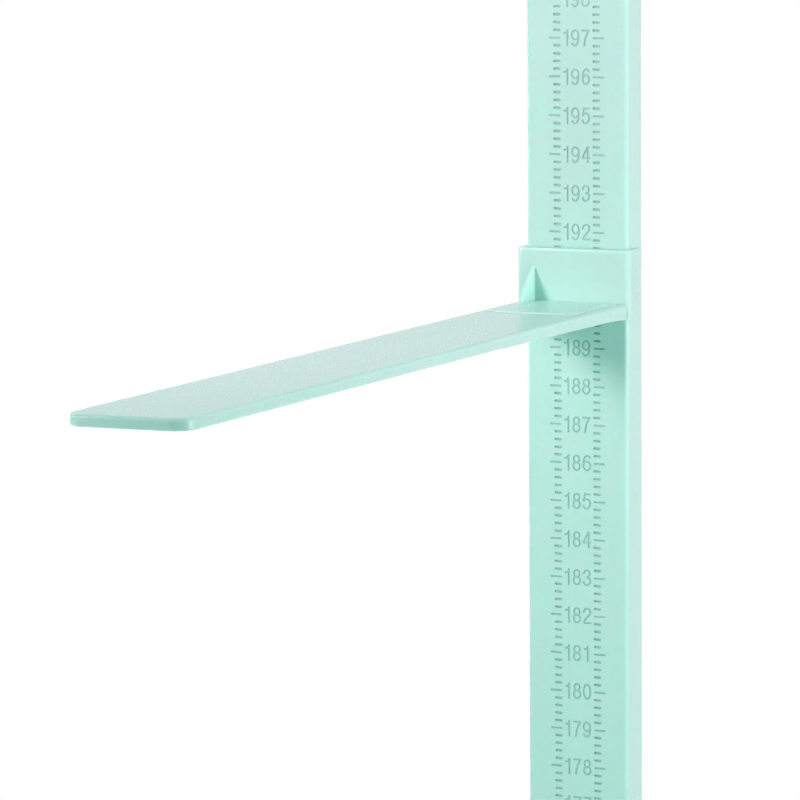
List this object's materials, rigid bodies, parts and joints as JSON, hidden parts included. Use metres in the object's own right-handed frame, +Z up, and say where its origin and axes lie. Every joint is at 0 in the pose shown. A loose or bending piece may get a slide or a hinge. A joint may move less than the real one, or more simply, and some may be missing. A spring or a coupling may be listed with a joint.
{
  "type": "wall height measuring rod",
  "caption": "Wall-mounted height measuring rod: a sectioned plastic channel with an engraved centimetre scale and a flat headboard on a sleeve that slides along it.",
  "frame": {"origin": "on the wall plane at floor level, in the middle of the rod's width, so that height above the origin is the reading", "axes": "+Z up along the rod, +Y into the wall, -Y out towards the headboard's free end, +X to the right as seen from the front"},
  "size_m": [0.0314, 0.267, 2.008],
  "materials": {
    "rod_plastic": "satin pale mint, fine moulded grain",
    "slider_plastic": "satin pale mint, smoother than the rod",
    "bracket_plastic": "plain off-white, hidden behind the rod",
    "foam": "closed-cell adhesive foam",
    "felt": "pressed felt"
  },
  "bodies": {
    "rod": {"rod_section_1": "rod_plastic", "rod_section_2": "rod_plastic", "rod_section_3": "rod_plastic", "rod_section_4": "rod_plastic", "bottom_cap": "rod_plastic", "top_cap": "rod_plastic", "bottom_bracket": "bracket_plastic", "joint_bracket_1": "bracket_plastic", "joint_bracket_2": "bracket_plastic", "joint_bracket_3": "bracket_plastic", "top_bracket": "bracket_plastic", "foam_pad_1": "foam", "foam_pad_2": "foam", "foam_pad_3": "foam", "foam_pad_4": "foam", "foam_pad_5": "foam"},
    "slider": {"slider": "slider_plastic", "headboard": "slider_plastic", "friction_pad_left": "felt", "friction_pad_right": "felt"}
  },
  "joints": [
    {"name": "slider_travel", "type": "slide", "parent": "rod", "child": "slider", "axis": [0, 0, 1], "range_m": [-1.8948, 0.0888]}
  ]
}
